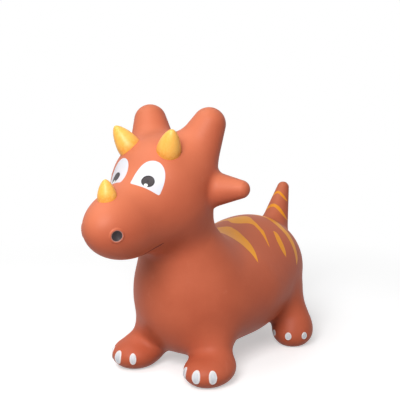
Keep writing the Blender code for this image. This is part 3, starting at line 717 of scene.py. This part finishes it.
TERRACOTTA_DEEP = (0.490, 0.102, 0.047, 1.0)
TERRACOTTA_PALE = (0.550, 0.124, 0.059, 1.0)
# Paler vinyl colour, painted light where the skin faces up and ahead
TERRACOTTA_PAINTED_LIGHT = (0.630, 0.190, 0.092, 1.0)
# Painted shade darkening the creases and hollows of the skin
CREASE_SHADE_BROWN = (0.240, 0.045, 0.024, 1.0)
DUST_PALE = (0.66, 0.24, 0.15, 1.0)
STRIPE_YELLOW = (0.930, 0.385, 0.024, 1.0)
STRIPE_DEEP = (0.850, 0.315, 0.018, 1.0)
# Painted shade in the mouth groove
MOUTH_CREASE_SHADE = (0.060, 0.010, 0.008, 1.0)
NOSTRIL_GREY = (0.040, 0.031, 0.034, 1.0)
# Painted highlight on the raised rim round each nostril
NOSTRIL_RIM_HIGHLIGHT = (0.420, 0.300, 0.280, 1.0)
EYE_WHITE = (0.660, 0.680, 0.740, 1.0)
EYE_BLUSH = (0.700, 0.650, 0.680, 1.0)
PUPIL_EDGE = (0.016, 0.013, 0.014, 1.0)
PUPIL_GREY = (0.052, 0.042, 0.046, 1.0)
GLINT_WHITE = (0.900, 0.930, 0.900, 1.0)
VINYL_ROUGHNESS = 0.50
VINYL_SPECULAR = 0.20
PAINT_ROUGHNESS = 0.40
PEBBLE_DEPTH = 0.00022
PAINT_RELIEF = 0.35
# How softly the edge of each paint is sprayed, in millimetres
STRIPE_SOFT_MM = 0.35
EYE_SOFT_MM = 0.30
NOSTRIL_SOFT_MM = 0.60
# Edge softness of the painted shade in the mouth groove
MOUTH_SHADE_SOFT_MM = 0.40
# Distances inside its edge, below zero outside it, over which the painted highlight on the nostril's raised
# rim comes up and the pupil goes over into grey
NOSTRIL_RIM_HIGHLIGHT_MM = (-1.5, -0.7)
PUPIL_GREY_MM = (0.6, 1.9)
# Range of hollowness over which the painted shade in the creases grows
CREASE_SHADE_RANGE = (0.30, 1.0)
# How strongly each of these shows in the vinyl's colour, and rubbing and clouds in its roughness
PAINTED_LIGHT_SHARE = 0.75
CREASE_SHADE_SHARE = 0.45
DUST_SHARE = 0.16
RUBBED_SHARE = 0.22
NOSTRIL_RIM_HIGHLIGHT_SHARE = 0.55
RUBBED_ROUGHER = 0.12
CLOUDS_ROUGHER = (-0.03, 0.04)

skin_finish, tree, shader = new_finish("painted_vinyl_skin")
place = place_of(tree)
face = use_effect(tree, vinyl_effect, {"Place": place})


def sprayed(name, softness):
    """Where a paint covers the skin, 0 to 1."""
    return use_effect(tree, spray_effect, {"Distance": value_of(tree, name), "Place": place,
                                           "Softness": softness}).outputs["Mask"]


stripe = sprayed("stripe", STRIPE_SOFT_MM)
eye = sprayed("eye", EYE_SOFT_MM)
pupil = sprayed("pupil", EYE_SOFT_MM)
glint = sprayed("glint", EYE_SOFT_MM)
nostril = sprayed("nostril", NOSTRIL_SOFT_MM)
mouth = sprayed("mouth", MOUTH_SHADE_SOFT_MM)
vinyl = mixed(tree, face.outputs["Clouding"], TERRACOTTA_DEEP, TERRACOTTA_PALE)
# Painted light: paler where the skin faces up and ahead
vinyl = mixed(tree, calc(tree, "MULTIPLY", value_of(tree, "painted_light"), PAINTED_LIGHT_SHARE), vinyl, TERRACOTTA_PAINTED_LIGHT)
# Painted shade: darker brown where the skin lies in a hollow
crease_shade = ramp(tree, value_of(tree, "crease_shade"), *CREASE_SHADE_RANGE, 0.0, CREASE_SHADE_SHARE)
vinyl = mixed(tree, crease_shade, vinyl, CREASE_SHADE_BROWN)
vinyl = mixed(tree, calc(tree, "MULTIPLY", face.outputs["Dust"], DUST_SHARE), vinyl, DUST_PALE)
vinyl = mixed(tree, calc(tree, "MULTIPLY", face.outputs["Rubbing"], RUBBED_SHARE), vinyl, DUST_PALE)
yellow = mixed(tree, face.outputs["Clouding"], STRIPE_DEEP, STRIPE_YELLOW)
color = mixed(tree, stripe, vinyl, yellow)
# Painted shade: the mouth groove darkened
color = mixed(tree, mouth, color, MOUTH_CREASE_SHADE)
# Painted highlight: a pale ring on the nostril's raised rim
rim = ramp(tree, value_of(tree, "nostril"), *NOSTRIL_RIM_HIGHLIGHT_MM, 0.0, NOSTRIL_RIM_HIGHLIGHT_SHARE)
color = mixed(tree, rim, color, NOSTRIL_RIM_HIGHLIGHT)
color = mixed(tree, nostril, color, NOSTRIL_GREY)
white = mixed(tree, face.outputs["Clouding"], EYE_WHITE, EYE_BLUSH)
color = mixed(tree, eye, color, white)
iris = mixed(tree, ramp(tree, value_of(tree, "pupil"), *PUPIL_GREY_MM), PUPIL_EDGE, PUPIL_GREY)
color = mixed(tree, calc(tree, "MULTIPLY", pupil, eye), color, iris)
color = mixed(tree, calc(tree, "MULTIPLY", glint, eye), color, GLINT_WHITE)
painted = calc(tree, "MAXIMUM", stripe, eye)
shader.inputs["Specular IOR Level"].default_value = VINYL_SPECULAR
gloss = ramp(tree, painted, 0.0, 1.0, VINYL_ROUGHNESS, PAINT_ROUGHNESS)
gloss = calc(tree, "ADD", gloss, ramp(tree, face.outputs["Clouding"], 0.0, 1.0, *CLOUDS_ROUGHER))
gloss = calc(tree, "ADD", gloss, calc(tree, "MULTIPLY", face.outputs["Rubbing"], RUBBED_ROUGHER))
relief = calc(tree, "ADD", face.outputs["Height"], calc(tree, "MULTIPLY", painted, PAINT_RELIEF))
show(tree, shader, color, gloss, relief, PEBBLE_DEPTH)


# Pieces of the skin
# The skin is one moulding. Where it bends, it is cut off along a plane and shown as a piece of its own, out
# to its end.
CUT_SNAP = 0.000002
# Painted light: the vinyl is painted a little paler where it faces up and ahead, into the light, the head
# more than the feet
PAINTED_LIGHT_SIDE = (0.0, -0.55, 0.83)
PAINTED_LIGHT_FROM = 0.08
PAINTED_LIGHT_OVER = 0.22
PAINTED_LIGHT_POWER = 1.5


def unit(aim):
    """A direction with a length of one."""
    return np.array(aim) / np.linalg.norm(aim)


def faces_past(aim, start, near):
    """The faces of the skin past a plane near one limb, after the skin is cut along that plane."""
    faces = [face for face in skin.faces if near(face.calc_center_median())]
    edges = {edge for face in faces for edge in face.edges}
    verts = {vertex for face in faces for vertex in face.verts}
    bmesh.ops.bisect_plane(skin, geom=list(verts) + list(edges) + faces, dist=CUT_SNAP,
                           plane_co=unit(aim) * start, plane_no=unit(aim))
    middles = [(face, face.calc_center_median()) for face in skin.faces]
    return [face for face, middle in middles if near(middle) and middle @ Vector(unit(aim)) > start]


def skin_piece(name, faces):
    """These faces of the skin as an object of their own, painted and smoothly shaded."""
    numbers = {}
    for face in faces:
        for vertex in face.verts:
            numbers.setdefault(vertex, len(numbers))
    points = np.array([vertex.co for vertex in numbers])
    mesh = bpy.data.meshes.new(name)
    mesh.from_pydata(points, [], [[numbers[vertex] for vertex in face.verts] for face in faces])
    mesh.shade_smooth()
    bmesh.ops.delete(skin, geom=faces, context="FACES")
    normals = outward(points)
    keep_value(mesh, "rest", points, "FLOAT_VECTOR")
    for paint, distances in paint_distances(points).items():
        keep_value(mesh, paint, distances)
    # Painted shade in the hollows, from how deep each point lies in one
    keep_value(mesh, "crease_shade", creases(points, normals))
    # Painted light: how much the skin faces up and ahead, and how high it stands
    keep_value(mesh, "painted_light", np.clip(normals @ unit(PAINTED_LIGHT_SIDE), 0, 1) ** PAINTED_LIGHT_POWER
               * np.clip((points[:, 2] - PAINTED_LIGHT_FROM) / PAINTED_LIGHT_OVER, 0, 1))
    mesh.materials.append(skin_finish)
    mesh.normals_split_custom_set_from_vertices(normals)
    body = new_object(name, mesh)
    return body


# Ears
# Two rounded hollow ears of the same vinyl, blown in one with the head. They bend back and forth at
# their roots.
EAR_AIM = (1.0, 0, 0)
EAR_START = 0.0892
EAR_PAST_X = 0.07
EAR_OVER_Z = 0.29
EAR_UNDER_Z = 0.40
for word, side in (("left", 1), ("right", -1)):
    aim = unit(EAR_AIM) * (side, 1, 1)
    ear = skin_piece(word + "_ear_skin", faces_past(
        aim, EAR_START, lambda spot: side * spot.x > EAR_PAST_X and EAR_OVER_Z < spot.z < EAR_UNDER_Z))
    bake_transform(ear)
    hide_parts("ear_" + word)

# Tail
# A stubby hollow cone of the same vinyl, with a round tip, blown in one with the rump. It bends down
# and up at its root.
TAIL_AIM = (0, 0.795, 0.607)
TAIL_START = 0.326
TAIL_PAST_Y = 0.20
aim = unit(TAIL_AIM)
tail = skin_piece("tail_skin", faces_past(aim, TAIL_START, lambda spot: spot.y > TAIL_PAST_Y))
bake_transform(tail)
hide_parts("tail")

# Legs and feet
# Four short hollow legs of the same vinyl with soft flat soles, blown in one with the body. The skin
# above each foot folds as the toy bounces.
LEG_AIMS = {"front": (0.528, -0.345, -0.776), "hind": (0.589, 0.247, -0.769)}
LEG_STARTS = {"front": 0.0215, "hind": 0.0395}
LEG_ENDS = {"front": 0.060, "hind": 0.080}
MIDDLE_Y = 0.03
LEG_UNDER_Z = 0.13


def leg_bend(end, side):
    """Direction of a leg, and the two places between which its skin folds."""
    aim = unit(LEG_AIMS[end]) * (side, 1, 1)
    return aim, aim * LEG_STARTS[end], aim * LEG_ENDS[end]


for end in ("front", "hind"):
    for word, side in (("left", 1), ("right", -1)):
        aim, start, stop = leg_bend(end, side)
        leg = skin_piece("_".join((end, word, "leg_and_foot")), faces_past(
            aim, LEG_STARTS[end],
            lambda spot: side * spot.x > 0 and spot.z < LEG_UNDER_Z
            and (spot.y < MIDDLE_Y) == (end == "front")))
        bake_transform(leg)
        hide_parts(end + "_foot_" + word, end + "_leg_skin_" + word)

# Head and neck
# The hollow head of the same vinyl, with its two crest lobes, is blown in one with the neck, which
# bends when the crest is pulled.
NECK_AIM = (0, -0.365, 0.931)
NECK_START = 0.2298
aim = unit(NECK_AIM)
head = skin_piece("head_and_neck_skin", faces_past(aim, NECK_START, lambda spot: True))
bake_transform(head)
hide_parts("head_skin")

# Body
# Chest, barrel and rump of the same vinyl, with a dipped back to sit on and a hole in the belly for
# the valve.
VALVE_PLACE = np.array((0, 0.054, 0))
VALVE_HOLE_RADIUS = 0.0072
BELLY_UNDER_Z = 0.06
in_hole = [face for face in skin.faces
           if (face.calc_center_median() - Vector(VALVE_PLACE)).xy.length < VALVE_HOLE_RADIUS
           and face.calc_center_median().z < BELLY_UNDER_Z]
bmesh.ops.delete(skin, geom=in_hole, context="FACES")
for vertex in skin.verts:
    away = (vertex.co - Vector(VALVE_PLACE)).xy
    if vertex.co.z < BELLY_UNDER_Z and vertex.is_boundary and away.length < VALVE_HOLE_RADIUS * 2:
        vertex.co.xy = Vector(VALVE_PLACE).xy + away.normalized() * VALVE_HOLE_RADIUS
body = skin_piece("body_skin", list(skin.faces))
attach(body, "torso")
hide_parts("torso_skin")
skin.free()


# Horns
# Three blunt horns with softly bulging sides, moulded on the head in the same vinyl and sprayed
# yellow. The angles of their places and tips turn outwards from straight ahead, then rise.
HORN_SIDES = 64
HORN_RINGS = 28
HORN_ROOT = 0.014
HORN_SWELL = 1.4
HORN_BLUNT = 0.60
HORN_RING_SPREAD = 1.6
# Name, form that it stands on, place and tip in degrees, and width and height of each horn
HORNS = (("nose_horn", SNOUT, (0, 43.5), (0, 82), 0.0315, 0.028),
         ("brow_horn_left", SKULL, (50, 53), (50, 56), 0.041, 0.042),
         ("brow_horn_right", SKULL, (-50, 53), (-50, 56), 0.041, 0.042))
HORN_YELLOW = (0.930, 0.440, 0.062, 1.0)
HORN_PALE = (0.960, 0.560, 0.150, 1.0)
HORN_DEEP = (0.800, 0.310, 0.030, 1.0)
# Roughness of the smoothest and the roughest places, and what rubbing adds to it
HORN_ROUGHNESS = (0.37, 0.48)
HORN_RUBBED_ROUGHER = 0.10
HORN_RELIEF = 0.00020
HORN_STREAKS = (9.0, 4.0, 0.6)
STREAK_RELIEF = 0.6
HORN_DEEP_UP_TO = 0.30
HORN_PALE_RANGE = (0.42, 0.72)
HORN_PALE_SHARE = 0.55
HORN_GLOSS_RANGE = (0.3, 0.7)
HORN_CLOUD_SHARE = 0.25
POLE_MERGE = 0.00001
# Lengths from inside a form at which the skin is looked for
SKIN_SEARCH_FROM = 0.001
SKIN_SEARCH_TO = 0.25
SKIN_SEARCH_STEPS = 2491


def streaks(tree, rise, kind):
    """Uneven paint on a horn or toenail, by its place across and this height up it."""
    spot = add_node(tree, "CombineXYZ", {"X": value_of(tree, "turn"), "Y": 0.0, "Z": rise})
    return noise(tree, spot.outputs[0], *kind)


horn_finish, tree, shader = new_finish("yellow_vinyl_horn")
face = use_effect(tree, vinyl_effect, {"Place": place_of(tree)})
streak = streaks(tree, value_of(tree, "rise"), HORN_STREAKS)
color = mixed(tree, ramp(tree, value_of(tree, "rise"), 0.0, HORN_DEEP_UP_TO), HORN_DEEP, HORN_YELLOW)
color = mixed(tree, ramp(tree, streak, *HORN_PALE_RANGE, 0.0, HORN_PALE_SHARE), color, HORN_PALE)
color = mixed(tree, calc(tree, "MULTIPLY", face.outputs["Clouding"], HORN_CLOUD_SHARE), color, HORN_PALE)
gloss = ramp(tree, streak, *HORN_GLOSS_RANGE, *HORN_ROUGHNESS)
gloss = calc(tree, "ADD", gloss, calc(tree, "MULTIPLY", face.outputs["Rubbing"], HORN_RUBBED_ROUGHER))
relief = calc(tree, "ADD", face.outputs["Height"], calc(tree, "MULTIPLY", streak, STREAK_RELIEF))
show(tree, shader, color, gloss, relief, HORN_RELIEF)


def facing(turn, rise):
    """Unit direction from degrees outwards from straight ahead, and degrees above level."""
    turn, rise = math.radians(turn), math.radians(rise)
    return np.array((math.sin(turn) * math.cos(rise), -math.cos(turn) * math.cos(rise), math.sin(rise)))


def on_skin(start, direction):
    """Where a line from inside the toy leaves the skin."""
    reach = np.linspace(SKIN_SEARCH_FROM, SKIN_SEARCH_TO, SKIN_SEARCH_STEPS)
    line = np.array(start) + reach[:, None] * direction
    return settle(line[np.argmax(plain_distance(line) > 0)][None], plain_distance)[0]


def ring_faces(rings, sides):
    """The faces between rings of points, each ring with the same number of sides."""
    faces = []
    for ring in range(rings - 1):
        for side in range(sides):
            after = (side + 1) % sides
            faces.append((ring * sides + side, (ring + 1) * sides + side,
                          (ring + 1) * sides + after, ring * sides + after))
    return faces


def turned(name, profile, sides, place, aim):
    """A turned piece from its profile of (radius, height) points, from its top down its side."""
    turns = np.linspace(0, 2 * math.pi, sides, endpoint=False)
    points = [(radius * math.cos(turn), radius * math.sin(turn), height)
              for radius, height in profile for turn in turns]
    mesh = bpy.data.meshes.new(name)
    mesh.from_pydata(points, [], ring_faces(len(profile), sides))
    keep_value(mesh, "rise", np.array(points)[:, 2] / max(height for _, height in profile))
    keep_value(mesh, "turn", np.array(points)[:, 0] / max(radius for radius, _ in profile))
    tidy = bmesh.new()
    tidy.from_mesh(mesh)
    bmesh.ops.remove_doubles(tidy, verts=tidy.verts, dist=POLE_MERGE)
    bmesh.ops.recalc_face_normals(tidy, faces=tidy.faces)
    tidy.to_mesh(mesh)
    tidy.free()
    mesh.transform(Matrix.Translation(place) @ Vector(aim).to_track_quat("Z", "Y").to_matrix().to_4x4())
    mesh.shade_smooth()
    keep_value(mesh, "rest", places(mesh), "FLOAT_VECTOR")
    return new_object(name, mesh)


for name, form, spot, tip, width, height in HORNS:
    shares = 1 - np.linspace(0, 1, HORN_RINGS) ** HORN_RING_SPREAD
    profile = [(width / 2 * (1 - share ** HORN_SWELL) ** HORN_BLUNT, height * share) for share in shares]
    profile += [(width / 2, -HORN_ROOT / 2), (width / 2, -HORN_ROOT)]
    horn = turned(name.replace("horn", "horn_shell"), profile, HORN_SIDES,
                  on_skin(form.middle, facing(*spot)), facing(*tip))
    horn.data.materials.append(horn_finish)
    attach(horn, "head")
    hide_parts(name)


# Toenails
# Three low ovals with a raised rim on the front of each foot, moulded with it in the same vinyl and
# sprayed white.
NAIL_SIDES = 36
NAIL_RINGS = 12
NAIL_RISE_DEG = 3
NAIL_RIM = 0.0016
NAIL_BED = 0.0009
NAIL_EDGE = -0.0006
NAIL_RING_SPREAD = 0.8
# Foot, degrees outwards of its three toenails, and their width and height; then each one's share of it
NAILS = {"front": (FRONT_FOOT, (-28, 6, 40), 0.0165, 0.033),
         "hind": (HIND_FOOT, (-34, 16, 64), 0.0135, 0.0165)}
NAIL_WORDS = (("inner", 0.78), ("middle", 1.0), ("outer", 0.94))
NAIL_WHITE = (0.860, 0.830, 0.830, 1.0)
# Bluish grey painted shade in the recessed bed of each toenail
NAIL_BED_SHADE = (0.600, 0.630, 0.680, 1.0)
NAIL_DIRT = (0.400, 0.280, 0.230, 1.0)
NAIL_ROUGHNESS = (0.32, 0.44)
NAIL_RELIEF = 0.00018
NAIL_STREAKS = (3.4, 3.0, 0.6)
NAIL_STREAK_STRETCH = 0.18
NAIL_STREAK_RANGE = (0.35, 0.62)
NAIL_BED_SHADE_SHARES = (0.35, 1.0)
NAIL_RUBBED_SHARE = 0.25
NAIL_DIRT_SHARE = 0.7
# Shares of the way from middle to edge over which the painted shade of the recessed bed ends and the dirt
# at the rim begins
NAIL_BED_ENDS = (0.50, 0.78)
NAIL_DIRT_BEGINS = (0.93, 1.0)

nail_finish, tree, shader = new_finish("white_toenail_paint")
face = use_effect(tree, vinyl_effect, {"Place": place_of(tree)})
streak = streaks(tree, calc(tree, "MULTIPLY", value_of(tree, "rise"), NAIL_STREAK_STRETCH), NAIL_STREAKS)
# Painted shade: the recessed bed inside the rim is bluish grey, unevenly
bed = ramp(tree, value_of(tree, "share"), *NAIL_BED_ENDS, 1.0, 0.0)
bed_shade = calc(tree, "MULTIPLY", bed, ramp(tree, streak, *NAIL_STREAK_RANGE, *NAIL_BED_SHADE_SHARES))
color = mixed(tree, bed_shade, NAIL_WHITE, NAIL_BED_SHADE)
rim = ramp(tree, value_of(tree, "share"), *NAIL_DIRT_BEGINS, 0.0, NAIL_DIRT_SHARE)
color = mixed(tree, rim, color, NAIL_DIRT)
color = mixed(tree, calc(tree, "MULTIPLY", face.outputs["Rubbing"], NAIL_RUBBED_SHARE), color, NAIL_DIRT)
gloss = ramp(tree, face.outputs["Clouding"], 0.0, 1.0, *NAIL_ROUGHNESS)
show(tree, shader, color, gloss, calc(tree, "ADD", streak, face.outputs["Height"]), NAIL_RELIEF)


def nail_height(share):
    """Height of a toenail over the foot, from its middle to its edge."""
    shares = (0.0, 0.35, 0.60, 0.76, 0.88, 0.96, 1.0)
    heights = (NAIL_BED, NAIL_BED, NAIL_BED * 1.15, NAIL_RIM, NAIL_RIM * 0.86, NAIL_RIM * 0.2, NAIL_EDGE)
    return np.interp(share, shares, heights)


def toenail(name, spot, width, height):
    """A toenail draped over the front of a foot, round the spot."""
    normal = outward(spot[None])[0]
    across = unit(np.cross((0, 0, 1), normal))
    up = np.cross(normal, across)
    shares = np.repeat(np.linspace(0, 1, NAIL_RINGS + 1)[1:] ** NAIL_RING_SPREAD, NAIL_SIDES)
    turns = np.tile(np.linspace(0, 2 * math.pi, NAIL_SIDES, endpoint=False), NAIL_RINGS)
    shares, turns = np.append(shares, 0.0), np.append(turns, 0.0)
    plan = np.stack((shares * np.cos(turns), shares * np.sin(turns)), axis=1)
    points = settle(spot + plan[:, :1] * across * width / 2 + plan[:, 1:] * up * height / 2, plain_distance)
    points = points + outward(points, plain_distance) * nail_height(shares)[:, None]
    last = len(points) - 1
    middle_faces = [(last, side, (side + 1) % NAIL_SIDES) for side in range(NAIL_SIDES)]
    mesh = bpy.data.meshes.new(name)
    mesh.from_pydata(points, [], middle_faces + ring_faces(NAIL_RINGS, NAIL_SIDES))
    mesh.shade_smooth()
    keep_value(mesh, "rest", points, "FLOAT_VECTOR")
    keep_value(mesh, "share", shares)
    keep_value(mesh, "turn", plan[:, 0])
    keep_value(mesh, "rise", plan[:, 1])
    mesh.materials.append(nail_finish)
    return new_object(name, mesh)


for end in ("front", "hind"):
    foot, turns, width, height = NAILS[end]
    for word, side in (("left", 1), ("right", -1)):
        _, start, stop = leg_bend(end, side)
        for turn, (which, size) in zip(turns, NAIL_WORDS):
            spot = on_skin(foot.middle, facing(turn, NAIL_RISE_DEG)) * (side, 1, 1)
            nail = toenail("_".join((end, word, which, "nail")), spot, width * size, height * size)
            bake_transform(nail)
            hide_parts("_".join((end, which, "toenail", word)))


# Valve seat
# A soft moulded collar of whitish vinyl, welded into the belly, through which the toy is blown up.
# Its profile gives radius and height in millimetres.
VALVE_SIDES = 56
SEAT_PROFILE_MM = ((5.6, 36.0), (8.4, 36.0), (8.8, 35.5), (8.8, 26.0), (12.4, 26.0), (12.9, 25.7),
                   (13.0, 25.2), (12.8, 24.6), (12.3, 24.2), (6.4, 24.2), (5.8, 24.5), (5.6, 25.0),
                   (5.6, 36.0))
VALVE_WHITE = (0.780, 0.770, 0.720, 1.0)
VALVE_YELLOWED = (0.700, 0.640, 0.520, 1.0)
VALVE_ROUGHNESS = (0.34, 0.49)
VALVE_RUBBED_SHARE = 0.4
VALVE_RELIEF = 0.0001
VALVE_EDGE_DEG = 50

valve_finish, tree, shader = new_finish("clear_white_valve_vinyl")
face = use_effect(tree, vinyl_effect, {"Place": place_of(tree)})
color = mixed(tree, face.outputs["Clouding"], VALVE_WHITE, VALVE_YELLOWED)
rubbed = calc(tree, "MULTIPLY", face.outputs["Rubbing"], VALVE_RUBBED_SHARE)
color = mixed(tree, rubbed, color, VALVE_YELLOWED)
gloss = ramp(tree, face.outputs["Rubbing"], 0.0, 1.0, *VALVE_ROUGHNESS)
show(tree, shader, color, gloss, face.outputs["Height"], VALVE_RELIEF)


def valve_piece(name, profile, node, body):
    """A turned piece of the valve, riding on a body."""
    made = turned(name, [(radius * MM, height * MM) for radius, height in profile], VALVE_SIDES,
                  VALVE_PLACE, (0, 0, 1))
    made.data.set_sharp_from_angle(angle=math.radians(VALVE_EDGE_DEG))
    made.data.materials.append(valve_finish)
    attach(made, body)
    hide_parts(node)


valve_piece("valve_collar", SEAT_PROFILE_MM, "valve_seat", "torso")

# Valve plug
# A soft plug of the same whitish vinyl, with a tapered shank and a flat head, pushed into the seat
# from below.
PLUG_PROFILE_MM = ((0.0, 34.9), (3.5, 34.9), (3.9, 34.6), (5.3, 31.6), (5.3, 23.9), (8.4, 23.9),
                   (8.9, 23.6), (9.0, 23.1), (8.8, 22.6), (8.3, 22.3), (3.2, 22.3), (2.8, 22.7),
                   (0.0, 22.9))
valve_piece("valve_stopper", PLUG_PROFILE_MM, "valve_plug", "plug")
